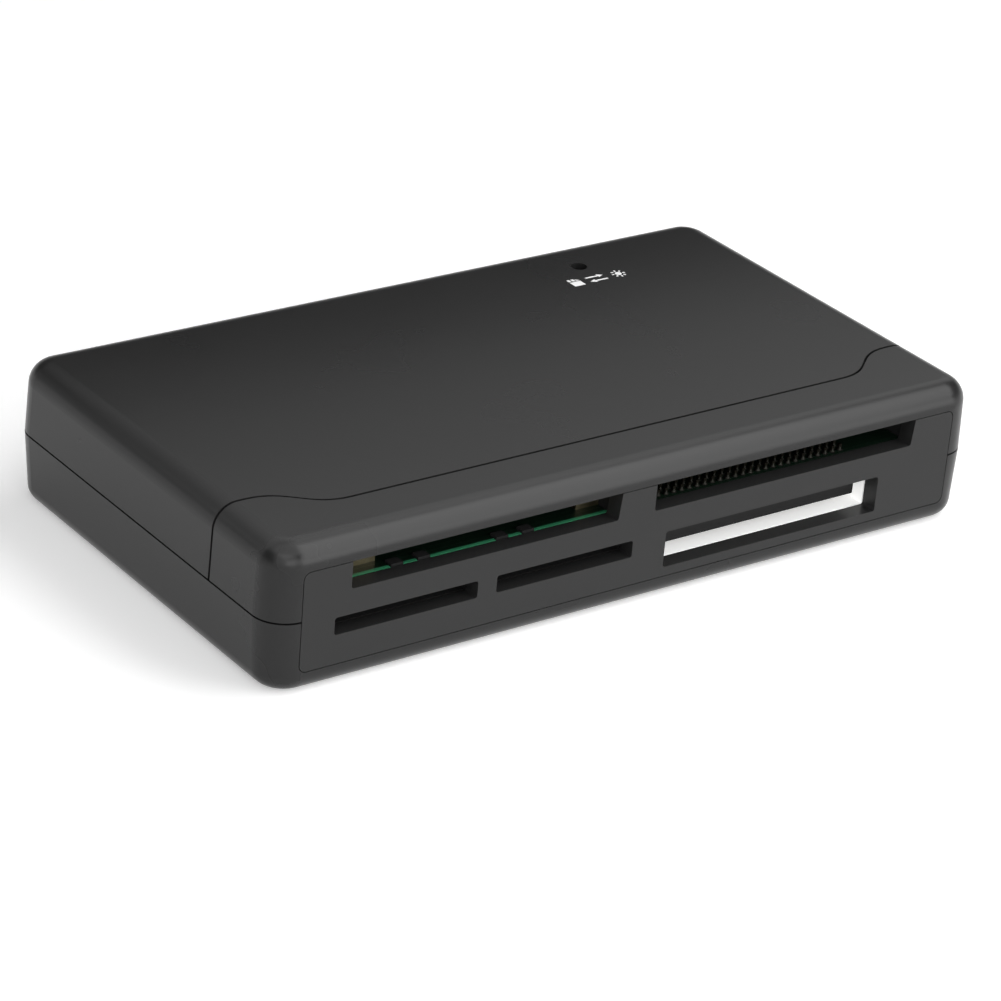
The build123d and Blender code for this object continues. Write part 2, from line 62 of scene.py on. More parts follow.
class TreeSketch:
    """Adds and links the nodes of one node tree."""

    def __init__(self, tree: bpy.types.NodeTree) -> None:
        """Work on the given tree."""
        self.tree = tree

    def node(self, kind: str, sockets: dict[str | int, Any] | None = None,
             **settings: Any) -> bpy.types.Node:
        """Add one node.

        Args:
            kind: the node's Blender type.
            sockets: values or source sockets for its inputs, by name or number.
            settings: the node's own properties.

        Returns:
            The new node.
        """
        node = self.tree.nodes.new(kind)
        for name, value in settings.items():
            setattr(node, name, value)
        for key, value in (sockets or {}).items():
            if isinstance(value, bpy.types.NodeSocket):
                self.tree.links.new(value, node.inputs[key])
            else:
                node.inputs[key].default_value = value
        return node

    def math(self, operation: str, *terms: Any, clamp: bool = False) -> bpy.types.NodeSocket:
        """Add a Math node.

        Args:
            operation: the sum to do.
            terms: its values or source sockets, in order.
            clamp: keep the result between 0 and 1.

        Returns:
            The result's socket.
        """
        return self.node("ShaderNodeMath", dict(enumerate(terms)), operation=operation,
                         use_clamp=clamp).outputs[0]

    def blend(self, share: Any, first: Any, second: Any) -> bpy.types.NodeSocket:
        """Mix two colours.

        Args:
            share: how much of the second colour shows, from 0 to 1.
            first: colour where share is 0.
            second: colour where share is 1.

        Returns:
            The mixed colour's socket.
        """
        return self.node("ShaderNodeMix", {0: share, 6: first, 7: second}, data_type="RGBA").outputs[2]

    def swing(self, level: bpy.types.NodeSocket, reach: Any) -> bpy.types.NodeSocket:
        """Turn a noise into a swing about zero.

        Args:
            level: the noise.
            reach: the width of the swing.

        Returns:
            The swing's socket.
        """
        return self.math("MULTIPLY", self.math("SUBTRACT", level, NOISE_MIDDLE), reach)

    def bump(self, height: bpy.types.NodeSocket, depth: float) -> bpy.types.NodeSocket:
        """Raise a surface by a texture.

        Args:
            height: the texture, from 0 to 1.
            depth: the relief in millimetres.

        Returns:
            The socket of the turned normal.
        """
        relief = {"Height": height, "Strength": 1.0, "Distance": depth * MM}
        return self.node("ShaderNodeBump", relief).outputs[0]

    def place(self) -> bpy.types.NodeSocket:
        """The point on the surface in millimetres, in the reader's own frame."""
        source = self.node("ShaderNodeTexCoord").outputs["Object"]
        return self.node("ShaderNodeVectorMath", {0: source, "Scale": 1 / MM},
                         operation="SCALE").outputs[0]


def opaque(colour: Colour) -> tuple[float, float, float, float]:
    """A colour with full alpha, as node sockets take it."""
    return (*colour, 1.0)


class EffectGroup:
    """A shader node group that several finishes share, built when it is first used."""

    title: str
    inputs: dict[str, tuple[str, Any]]
    outputs: dict[str, str]

    @classmethod
    def wire(cls, sketch: TreeSketch, given: Any) -> dict[str, bpy.types.NodeSocket]:
        """Build the group's inside; each effect has its own."""
        raise NotImplementedError

    @classmethod
    def tree(cls) -> bpy.types.NodeTree:
        """The group's node tree.

        Returns:
            The tree, new or already built.
        """
        found = bpy.data.node_groups.get(cls.title)
        if found:
            return found
        tree = bpy.data.node_groups.new(cls.title, "ShaderNodeTree")
        for name, (kind, start) in cls.inputs.items():
            tree.interface.new_socket(name=name, in_out="INPUT", socket_type=kind).default_value = start
        for name, kind in cls.outputs.items():
            tree.interface.new_socket(name=name, in_out="OUTPUT", socket_type=kind)
        sketch = TreeSketch(tree)
        given = sketch.node("NodeGroupInput").outputs
        sketch.node("NodeGroupOutput", cls.wire(sketch, given))
        return tree


class MouldGrain(EffectGroup):
    """Fine grain of a steel mould, with a slow drift of tone and gloss across the piece."""

    title = "mould_grain"
    inputs = {
        "Colour": ("NodeSocketColor", opaque((0.02, 0.02, 0.02))),
        "Roughness": ("NodeSocketFloat", 0.45),
        "Drift": ("NodeSocketFloat", 0.08),
        "Grain Size": ("NodeSocketFloat", 0.3),
    }
    outputs = {"Colour": "NodeSocketColor", "Roughness": "NodeSocketFloat", "Height": "NodeSocketFloat"}
    drift_size = 18.0
    drift_detail = 3.0
    grain_detail = 2.0

    @classmethod
    def wire(cls, sketch: TreeSketch, given: Any) -> dict[str, bpy.types.NodeSocket]:
        """Two noises: one for the grain's height, one for the drift.

        Args:
            sketch: the group's tree.
            given: the group's inputs.

        Returns:
            The group's outputs by name.
        """
        place = sketch.place()
        grain_scale = sketch.math("DIVIDE", 1.0, given["Grain Size"])
        fine = sketch.node("ShaderNodeTexNoise", {
            "Vector": place, "Scale": grain_scale, "Detail": cls.grain_detail})
        slow = sketch.node("ShaderNodeTexNoise", {
            "Vector": place, "Scale": 1 / cls.drift_size, "Detail": cls.drift_detail})
        swing = sketch.swing(slow.outputs[0], given["Drift"])
        speck = sketch.swing(fine.outputs[0], given["Drift"])
        value = sketch.math("ADD", sketch.math("ADD", swing, speck), 1.0)
        toned = sketch.node("ShaderNodeHueSaturation", {"Value": value, "Color": given["Colour"]})
        return {"Colour": toned.outputs[0], "Roughness": sketch.math("ADD", given["Roughness"], swing),
                "Height": fine.outputs[0]}


class DrawnMetal(EffectGroup):
    """Fine drawing lines and a little tarnish on metal."""

    title = "drawn_metal"
    inputs = {
        "Colour": ("NodeSocketColor", opaque((0.7, 0.7, 0.7))),
        "Tarnish": ("NodeSocketColor", opaque((0.4, 0.4, 0.4))),
        "Roughness": ("NodeSocketFloat", 0.3),
        "Line Sizes": ("NodeSocketVector", (1.0, 1.0, 1.0)),
    }
    outputs = {"Colour": "NodeSocketColor", "Roughness": "NodeSocketFloat", "Height": "NodeSocketFloat"}
    line_detail = 2.0
    spot_size = 1.6
    spot_detail = 4.0
    gloss_swing = 0.2

    @classmethod
    def wire(cls, sketch: TreeSketch, given: Any) -> dict[str, bpy.types.NodeSocket]:
        """Stretched noise for the lines, round noise for the tarnish.

        Args:
            sketch: the group's tree.
            given: the group's inputs.

        Returns:
            The group's outputs by name.
        """
        place = sketch.place()
        along = sketch.node("ShaderNodeVectorMath", {0: place, 1: given["Line Sizes"]},
                            operation="DIVIDE")
        lines = sketch.node("ShaderNodeTexNoise", {
            "Vector": along.outputs[0], "Scale": 1.0, "Detail": cls.line_detail})
        spots = sketch.node("ShaderNodeTexNoise", {
            "Vector": place, "Scale": 1 / cls.spot_size, "Detail": cls.spot_detail})
        dull = sketch.math("MULTIPLY", spots.outputs[0], spots.outputs[0])
        swing = sketch.swing(lines.outputs[0], cls.gloss_swing)
        return {"Colour": sketch.blend(dull, given["Colour"], given["Tarnish"]),
                "Roughness": sketch.math("ADD", given["Roughness"], swing), "Height": lines.outputs[0]}


class LineRun(Enum):
    """Which way the drawing lines of a metal run, as noise sizes in millimetres."""

    ALONG_X = (4.0, 0.12, 0.12)
    ALONG_Y = (0.12, 4.0, 0.12)
    EVEN = (0.4, 0.4, 0.4)


def new_material(name: str) -> tuple[bpy.types.Material, TreeSketch]:
    """An empty node material.

    Args:
        name: the finish's name.

    Returns:
        The material, and a sketch of its tree.
    """
    material = bpy.data.materials.new(name)
    material.use_nodes = True
    material.node_tree.nodes.clear()
    return material, TreeSketch(material.node_tree)


def close_material(sketch: TreeSketch, sockets: dict[str | int, Any]) -> None:
    """Add the surface shader and the output.

    Args:
        sketch: the material's tree.
        sockets: values or source sockets of the surface shader.
    """
    shader = sketch.node("ShaderNodeBsdfPrincipled", sockets)
    sketch.node("ShaderNodeOutputMaterial", {"Surface": shader.outputs[0]})


@dataclass(frozen=True)
class Moulding:
    """Moulded plastic or resin with a fine grain."""

    name: str
    colour: Colour
    roughness: float
    drift: float = 0.08
    grain_size: float = 0.3
    grain_depth: float = 0.003
    specular: float = 0.5
    # Emission in the finish's own colour: painted light on a part that is no lamp.
    glow: float = 0.0

    def material(self) -> bpy.types.Material:
        """Make the finish as a material."""
        material, sketch = new_material(self.name)
        grain = sketch.node("ShaderNodeGroup", {
            "Colour": opaque(self.colour), "Roughness": self.roughness, "Drift": self.drift,
            "Grain Size": self.grain_size}, node_tree=MouldGrain.tree()).outputs
        close_material(sketch, {
            "Base Color": grain["Colour"], "Roughness": grain["Roughness"],
            "Normal": sketch.bump(grain["Height"], self.grain_depth), "Specular IOR Level": self.specular,
            "Emission Color": opaque(self.colour), "Emission Strength": self.glow})
        return material


@dataclass(frozen=True)
class Metal:
    """Plated or drawn metal."""

    name: str
    colour: Colour
    tarnish: Colour
    roughness: float
    lines: LineRun
    line_depth: float = 0.002

    def material(self) -> bpy.types.Material:
        """Make the finish as a material."""
        material, sketch = new_material(self.name)
        drawn = sketch.node("ShaderNodeGroup", {
            "Colour": opaque(self.colour), "Tarnish": opaque(self.tarnish), "Roughness": self.roughness,
            "Line Sizes": self.lines.value}, node_tree=DrawnMetal.tree()).outputs
        close_material(sketch, {
            "Base Color": drawn["Colour"], "Roughness": drawn["Roughness"], "Metallic": 1.0,
            "Normal": sketch.bump(drawn["Height"], self.line_depth)})
        return material


@dataclass(frozen=True)
class SolderMask:
    """Green lacquered board: darker over copper, with traces, and paler along part of its edge, a painted
    highlight where light falls on the board.
    """

    name: str
    over_copper: Colour
    over_trace: Colour
    painted_light_edge: Colour
    edge_width: float = 0.5
    edge_end: float = 0.0
    trace_pitch: float = 0.9
    trace_run: float = 7.0
    trace_width: float = 0.16
    trace_softness: float = 0.1
    lacquer: float = 0.02
    roughness: float = 0.32

    def painted_light_mask(self, sketch: TreeSketch, place: bpy.types.NodeSocket) -> bpy.types.NodeSocket:
        """Mask of the painted highlight along the edge, from the board's own limits.

        Args:
            sketch: the material's tree.
            place: the point on the surface, in millimetres.

        Returns:
            A socket that is 1 on the painted highlight along the edge and 0 elsewhere.
        """
        low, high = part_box("circuit_board")
        axes = sketch.node("ShaderNodeSeparateXYZ", {0: place})
        masks = []
        for axis in (0, 1):
            middle = (low[axis] + high[axis]) / 2 / MM
            half = (high[axis] - low[axis]) / 2 / MM
            away = sketch.math("ABSOLUTE", sketch.math("SUBTRACT", axes.outputs[axis], middle))
            masks.append(sketch.math("GREATER_THAN", away, half - self.edge_width))
        # The painted highlight covers only the part of the board with x below edge_end.
        painted_light_side = sketch.math("LESS_THAN", axes.outputs[0], self.edge_end)
        return sketch.math("MULTIPLY", sketch.math("MAXIMUM", *masks), painted_light_side)

    def material(self) -> bpy.types.Material:
        """Make the finish as a material."""
        material, sketch = new_material(self.name)
        place = sketch.place()
        runs = sketch.node("ShaderNodeTexBrick", {
            "Vector": place, "Scale": 1.0, "Mortar Size": self.trace_width / 2,
            "Mortar Smooth": self.trace_softness, "Brick Width": self.trace_run,
            "Row Height": self.trace_pitch})
        traces = runs.outputs["Fac"]
        inside = sketch.blend(traces, opaque(self.over_copper), opaque(self.over_trace))
        colour = sketch.blend(self.painted_light_mask(sketch, place), inside, opaque(self.painted_light_edge))
        grain = sketch.node("ShaderNodeGroup", {"Colour": colour, "Roughness": self.roughness},
                            node_tree=MouldGrain.tree()).outputs
        close_material(sketch, {
            "Base Color": grain["Colour"], "Roughness": grain["Roughness"],
            "Normal": sketch.bump(traces, self.lacquer)})
        return material


@dataclass(frozen=True)
class CappedChip:
    """Dark chip parts whose two ends are dipped in tin; the parts stand in one row along X."""

    name: str
    body: Colour
    cap: Colour
    pitch: float = 4.0
    cap_start: float = 0.5
    roughness: float = 0.4

    def material(self) -> bpy.types.Material:
        """Make the finish as a material."""
        material, sketch = new_material(self.name)
        axes = sketch.node("ShaderNodeSeparateXYZ", {0: sketch.place()})
        half = self.pitch / 2
        away = sketch.math("PINGPONG", sketch.math("ADD", axes.outputs[0], half), half)
        end = sketch.math("GREATER_THAN", away, self.cap_start)
        colour = sketch.blend(end, opaque(self.body), opaque(self.cap))
        grain = sketch.node("ShaderNodeGroup", {"Colour": colour, "Roughness": self.roughness},
                            node_tree=MouldGrain.tree()).outputs
        close_material(sketch, {
            "Base Color": grain["Colour"], "Roughness": grain["Roughness"], "Metallic": end})
        return material


Finish = Moulding | Metal | SolderMask | CappedChip

CASE = Moulding("case_plastic", (0.015, 0.015, 0.015), roughness=0.28, drift=0.05, specular=0.26)
PANEL = Moulding("panel_plastic", (0.018, 0.018, 0.018), roughness=0.36, drift=0.05, specular=0.24)
SOCKET = Moulding("socket_plastic", (0.014, 0.014, 0.014), roughness=0.7, specular=0.15)
# The tray's glow is painted light: the white tray gives off light of its own, though it is no lamp.
TRAY_WITH_PAINTED_GLOW = Moulding("tray_plastic", (0.9, 0.9, 0.89), roughness=0.5, drift=0.02, glow=0.4)
RESIN = Moulding("chip_resin", (0.02, 0.02, 0.021), roughness=0.5, grain_size=0.15)
# The lamp's resin colour is partly its own green tint and partly painted light, made paler to lift the
# shade of the hole it sits in.
LENS_WITH_PAINTED_LIGHT = Moulding("lamp_resin", (0.1, 0.12, 0.1), roughness=0.2, drift=0.02, grain_depth=0.0005)
INK = Moulding("sign_ink", (0.86, 0.86, 0.86), roughness=0.6, drift=0.04, grain_size=0.1)
# The pale edge colour is a painted highlight where light falls on the board's front edge.
BOARD = SolderMask("board_laminate", over_copper=(0.0025, 0.009, 0.0045),
                   over_trace=(0.004, 0.016, 0.008), painted_light_edge=(0.03, 0.2, 0.095))
CHIPS = CappedChip("chip_parts", body=(0.015, 0.015, 0.017), cap=(0.6, 0.6, 0.58))
GOLD = Metal("contact_gold", (0.78, 0.58, 0.26), tarnish=(0.5, 0.34, 0.14),
             roughness=0.28, lines=LineRun.ALONG_Y)
BRASS = Metal("spring_brass", (0.2, 0.18, 0.11), tarnish=(0.1, 0.085, 0.05),
              roughness=0.42, lines=LineRun.ALONG_X)
# The tails' tin is painted near black, far darker than tin: painted shade for the dark inside of the
# slot.
PAINTED_SHADE_TIN = Metal("tail_tin", (0.016, 0.015, 0.011), tarnish=(0.008, 0.007, 0.005),
                 roughness=0.6, lines=LineRun.EVEN)
TIN = Metal("shell_tin", (0.66, 0.66, 0.64), tarnish=(0.45, 0.45, 0.43),
            roughness=0.26, lines=LineRun.ALONG_Y)
# The solder is painted near black, far darker than tin: painted shade for the dark inside of the case.
PAINTED_SHADE_SOLDER = Metal("solder_tin", (0.03, 0.03, 0.026), tarnish=(0.012, 0.012, 0.01),
               roughness=0.5, lines=LineRun.EVEN)
ALUMINIUM = Metal("can_aluminium", (0.8, 0.8, 0.8), tarnish=(0.6, 0.6, 0.6),
                  roughness=0.3, lines=LineRun.EVEN)
BLACK_ZINC = Metal("screw_zinc", (0.09, 0.09, 0.09), tarnish=(0.04, 0.04, 0.045),
                   roughness=0.35, lines=LineRun.EVEN)


def dress(finish: Finish, *nodes: str) -> None:
    """Give nodes of the model a finish.

    Args:
        finish: the finish.
        nodes: the nodes' names.
    """
    material = finish.material()
    for name in nodes:
        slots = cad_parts[name].data.materials
        slots.clear()
        slots.append(material)
        LOG.info("%s has the finish %s", name, finish.name)


def keep(piece: bpy.types.Object) -> None:
    """Let a new piece ride on the reader.

    Args:
        piece: the piece, in place.
    """
    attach(piece, BODY)
    LOG.info("made %s with %d faces", piece.name, len(piece.data.polygons))


def new_object(name: str, data: bpy.types.ID) -> bpy.types.Object:
    """Link a mesh, a lamp or a camera to the scene as an object.

    Args:
        name: the object's name.
        data: what it shows.

    Returns:
        The object, at the origin.
    """
    made = bpy.data.objects.new(name, data)
    bpy.context.scene.collection.objects.link(made)
    return made


@dataclass
class CaseMouldings:
    """The four plastic mouldings of the case and the screws that hold them."""

    shells: tuple[str, ...] = ("bottom_shell", "top_cover", "front_bezel")

    def build(self) -> None:
        """Dress the mouldings and the screws."""
        dress(CASE, *self.shells)
        dress(PANEL, "front_panel")
        dress(BLACK_ZINC, "case_screws")


@dataclass
class CardSockets:
    """The sockets of the cards and of the lead, and the other black mouldings on the board."""

    housings: tuple[str, ...] = (
        "pin_card_socket", "wide_card_socket", "narrow_socket_left", "narrow_socket_right",
        "flat_card_bar", "usb_socket_tongue", "can_bases")
    contacts: tuple[str, ...] = (
        "pin_card_pins", "wide_card_contacts", "narrow_contacts_left", "narrow_contacts_right",
        "flat_card_contacts", "usb_socket_contacts")

    def build(self) -> None:
        """Dress the sockets, their contacts, springs and tails."""
        dress(SOCKET, *self.housings)
        dress(TRAY_WITH_PAINTED_GLOW, "flat_card_tray")
        dress(GOLD, *self.contacts)
        dress(BRASS, "wide_card_springs")
        dress(PAINTED_SHADE_TIN, "flat_card_tails")


class SolderRows:
    """Geometry Nodes tree of a block of solder joints, each a small cone that is hollow in its flanks."""

    title = "solder_rows"
    sizes = {
        "Columns": ("NodeSocketInt", 1), "Rows": ("NodeSocketInt", 1),
        "Column Pitch": ("NodeSocketFloat", MM), "Row Pitch": ("NodeSocketFloat", MM),
        "Foot Radius": ("NodeSocketFloat", MM), "Neck Radius": ("NodeSocketFloat", MM),
        "Height": ("NodeSocketFloat", MM), "Flank Hollow": ("NodeSocketFloat", 0.3),
        "Centre": ("NodeSocketVector", (0.0, 0.0, 0.0)),
    }
    cone_sides = 12
    cone_steps = 3

    @classmethod
    def joint(cls, sketch: TreeSketch, given: Any) -> bpy.types.NodeSocket:
        """One solder joint.

        Args:
            sketch: the tree.
            given: the tree's inputs.

        Returns:
            The joint's geometry.
        """
        cone = sketch.node("GeometryNodeMeshCone", {
            "Vertices": cls.cone_sides, "Side Segments": cls.cone_steps, "Depth": given["Height"],
            "Radius Top": given["Neck Radius"], "Radius Bottom": given["Foot Radius"]})
        spot = sketch.node("GeometryNodeInputPosition").outputs[0]
        axes = sketch.node("ShaderNodeSeparateXYZ", {0: spot})
        rise = sketch.math("DIVIDE", axes.outputs[2], given["Height"])
        swell = sketch.math("SINE", sketch.math("MULTIPLY", rise, math.pi))
        draw = sketch.math("MULTIPLY", sketch.math("MULTIPLY", swell, given["Flank Hollow"]), -1.0)
        inwards = sketch.node("ShaderNodeCombineXYZ", {
            axis: sketch.math("MULTIPLY", axes.outputs[axis], draw) for axis in (0, 1)})
        hollow = sketch.node("GeometryNodeSetPosition", {
            "Geometry": cone.outputs["Mesh"], "Offset": inwards.outputs[0]})
        return sketch.node("GeometryNodeSetShadeSmooth", {"Geometry": hollow.outputs[0]}).outputs[0]

    @classmethod
    def tree(cls) -> bpy.types.NodeTree:
        """The node tree.

        Returns:
            The tree, new or already built.
        """
        found = bpy.data.node_groups.get(cls.title)
        if found:
            return found
        tree = bpy.data.node_groups.new(cls.title, "GeometryNodeTree")
        for name, (kind, start) in cls.sizes.items():
            tree.interface.new_socket(name=name, in_out="INPUT", socket_type=kind).default_value = start
        tree.interface.new_socket(name="Finish", in_out="INPUT", socket_type="NodeSocketMaterial")
        tree.interface.new_socket(name="Geometry", in_out="OUTPUT", socket_type="NodeSocketGeometry")
        sketch = TreeSketch(tree)
        given = sketch.node("NodeGroupInput").outputs
        spans = [sketch.math("MULTIPLY", given[pitch], sketch.math("SUBTRACT", given[count], 1.0))
                 for pitch, count in (("Column Pitch", "Columns"), ("Row Pitch", "Rows"))]
        grid = sketch.node("GeometryNodeMeshGrid", {
            "Size X": spans[0], "Vertices X": given["Columns"],
            "Size Y": spans[1], "Vertices Y": given["Rows"]})
        placed = sketch.node("GeometryNodeTransform", {
            "Geometry": grid.outputs["Mesh"], "Translation": given["Centre"]})
        joints = sketch.node("GeometryNodeInstanceOnPoints", {
            "Points": placed.outputs[0], "Instance": cls.joint(sketch, given)})
        real = sketch.node("GeometryNodeRealizeInstances", {"Geometry": joints.outputs[0]})
        tinned = sketch.node("GeometryNodeSetMaterial", {
            "Geometry": real.outputs[0], "Material": given["Finish"]})
        sketch.node("NodeGroupOutput", {"Geometry": tinned.outputs[0]})
        return tree

    @classmethod
    def make(cls, name: str, finish: bpy.types.Material, **values: Any) -> bpy.types.Object:
        """Run the tree and keep its result as a plain mesh.

        Args:
            name: the piece's name.
            finish: the joints' material.
            values: the tree's sizes, by name with spaces as underscores.

        Returns:
            The piece.
        """
        tree = cls.tree()
        values["Finish"] = finish
        piece = new_object(name, bpy.data.meshes.new(name))
        modifier = piece.modifiers.new(cls.title, "NODES")
        modifier.node_group = tree
        for item in tree.interface.items_tree:
            key = item.name.replace(" ", "_")
            if item.in_out == "INPUT" and key in values:
                modifier[item.identifier] = values[key]
        solid = piece.evaluated_get(bpy.context.evaluated_depsgraph_get())
        mesh = bpy.data.meshes.new_from_object(solid)
        piece.modifiers.remove(modifier)
        piece.data = mesh
        return piece


@dataclass
class BoardAssembly:
    """The circuit board with its parts and its solder."""

    pin_columns: int = 25
    pin_rows: int = 2
    pin_size: float = 0.45
    header_row_pitch: float = 1.2
    foot_radius: float = 0.52
    neck_radius: float = 0.24
    joint_height: float = 0.5

    def solder(self, name: str, finish: bpy.types.Material, low: Vector, high: Vector) -> None:
        """Add the solder joints round a block of square pins, as one piece.

        Args:
            name: the piece's name.
            finish: the joints' material.
            low: lowest corner of the block of pins.
            high: highest corner of the block of pins.
        """
        half = self.pin_size / 2 * MM
        middle = (low + high) / 2
        spans = [high[axis] - low[axis] - 2 * half for axis in (0, 1)]
        board_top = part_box("circuit_board")[1].z
        piece = SolderRows.make(
            name, finish, Columns=self.pin_columns, Rows=self.pin_rows,
            Column_Pitch=spans[0] / (self.pin_columns - 1), Row_Pitch=spans[1] / (self.pin_rows - 1),
            Foot_Radius=self.foot_radius * MM, Neck_Radius=self.neck_radius * MM,
            Height=self.joint_height * MM, Centre=(middle.x, middle.y, board_top))
        keep(piece)

    def build(self) -> None:
        """Dress the board and its parts, and solder the two blocks of pins."""
        dress(BOARD, "circuit_board")
        dress(RESIN, "controller_chip", "regulator")
        dress(CHIPS, "chip_resistors")
        dress(TIN, "controller_legs", "crystal", "usb_socket_shell")
        dress(ALUMINIUM, "can_capacitors")
        dress(LENS_WITH_PAINTED_LIGHT, "access_led")
        finish = PAINTED_SHADE_SOLDER.material()
        self.solder("tail_solder", finish, *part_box("flat_card_tails"))
        low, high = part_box("pin_card_pins")
        low.y = high.y - (self.header_row_pitch + self.pin_size) * MM
        self.solder("header_solder", finish, low, high)


@dataclass
class PrintedSigns:
    """White signs printed on the cover beside the lamp: a card, a pair of arrows and a lit lamp."""

    height: float = 2.2
    gap: float = 1.2
    film: float = 0.02
    drop: float = 4.5
    card_width: float = 1.8
    card_clip: float = 0.55
    card_bars: int = 3
    bar_height: float = 0.62
    bar_gap: float = 0.22
    arrow_length: float = 3.0
    arrow_head: float = 0.9
    arrow_shaft: float = 0.3
    disc_sides: int = 16
    disc_radius: float = 0.5
    ray_count: int = 8
    ray_start: float = 0.72
    ray_width: float = 0.24

    def card(self) -> list[Outline]:
        """A card seen from its contact side, with one cut corner."""
        body_top = self.height - self.bar_height - self.bar_gap
        shapes = [[(0, 0), (self.card_width, 0), (self.card_width, body_top), (0, body_top)]]
        step = (self.card_width + self.bar_gap) / self.card_bars
        foot = self.height - self.bar_height
        for index in range(self.card_bars):
            left, right = index * step, (index + 1) * step - self.bar_gap
            tops = [self.height - max(0.0, x - self.card_width + self.card_clip) for x in (right, left)]
            shapes.append([(left, foot), (right, foot), (right, tops[0]), (left, tops[1])])
        return shapes

    def arrows(self) -> list[Outline]:
        """Two arrows, one each way."""
        neck = self.arrow_length - self.arrow_head
        wing, shaft = self.arrow_head / 2, self.arrow_shaft / 2
        right = [(0, -shaft), (neck, -shaft), (neck, -wing), (self.arrow_length, 0), (neck, wing),
                 (neck, shaft), (0, shaft)]
        left = [(self.arrow_length - x, -y) for x, y in right]
        high, low = self.height - wing, wing
        return [[(x, y + high) for x, y in right], [(x, y + low) for x, y in left]]

    def lamp(self) -> list[Outline]:
        """A disc with rays."""
        middle = self.height / 2
        turn = 2 * math.pi / self.disc_sides
        disc = [(middle + self.disc_radius * math.cos(index * turn),
                 middle + self.disc_radius * math.sin(index * turn)) for index in range(self.disc_sides)]
        half = self.ray_width / 2
        ray = [(self.ray_start, -half), (middle, -half), (middle, half), (self.ray_start, half)]
        shapes = [disc]
        for index in range(self.ray_count):
            angle = 2 * math.pi * index / self.ray_count
            cos, sin = math.cos(angle), math.sin(angle)
            shapes.append([(middle + x * cos - y * sin, middle + x * sin + y * cos) for x, y in ray])
        return shapes

    def build(self) -> None:
        """Lay the three signs in a row in front of the lamp hole."""
        lamp_low, lamp_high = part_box("access_led")
        lamp = (lamp_low + lamp_high) / 2
        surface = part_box("top_cover")[1].z
        widths = (self.card_width, self.arrow_length, self.height)
        left = lamp.x - (sum(widths) + self.gap * (len(widths) - 1)) / 2 * MM
        foot = lamp.y - (self.drop + self.height / 2) * MM
        form = bmesh.new()
        for shapes, width in zip((self.card(), self.arrows(), self.lamp()), widths):
            for shape in shapes:
                self.raise_film(form, [(left + x * MM, foot + y * MM) for x, y in shape], surface)
            left += (width + self.gap) * MM
        bmesh.ops.recalc_face_normals(form, faces=form.faces)
        mesh = bpy.data.meshes.new("printed_signs")
        form.to_mesh(mesh)
        form.free()
        mesh.materials.append(INK.material())
        keep(new_object("printed_signs", mesh))

    def raise_film(self, form: bmesh.types.BMesh, shape: Outline, surface: float) -> None:
        """Add one printed patch as a thin closed film.

        Args:
            form: the mesh that grows.
            shape: the patch's outline, in metres.
            surface: height of the surface under it.
        """
        rings = [[form.verts.new((x, y, surface + level * MM)) for x, y in shape]
                 for level in (0.0, self.film)]
        form.faces.new(rings[0][::-1])
        form.faces.new(rings[1])
        count = len(shape)
        for index in range(count):
            after = (index + 1) % count
            form.faces.new((rings[0][index], rings[0][after], rings[1][after], rings[1][index]))


@dataclass(frozen=True)
class Softbox:
    """A studio lamp with a flat face, hung at a place and facing along a direction, in metres."""

    name: str
    place: tuple[float, float, float]
    facing: tuple[float, float, float]
    width: float
    height: float
    radiance: float
    upright: tuple[float, float, float] = (0.0, 0.0, 1.0)
    mirrored_only: bool = False

    def build(self) -> None:
        """Hang the lamp, with its height as near to its upright as it can be."""
        lamp = bpy.data.lights.new(self.name, "AREA")
        lamp.shape = "RECTANGLE"
        lamp.size, lamp.size_y = self.width, self.height
        lamp.energy = LAMP_POWER * self.width * self.height * self.radiance
        made = new_object(self.name, lamp)
        back = -Vector(self.facing).normalized()
        side = Vector(self.upright).cross(back).normalized()
        pose = Matrix((side, back.cross(side), back)).transposed().to_4x4()
        made.matrix_world = Matrix.Translation(self.place) @ pose
        made.visible_camera = False
        made.visible_diffuse = not self.mirrored_only


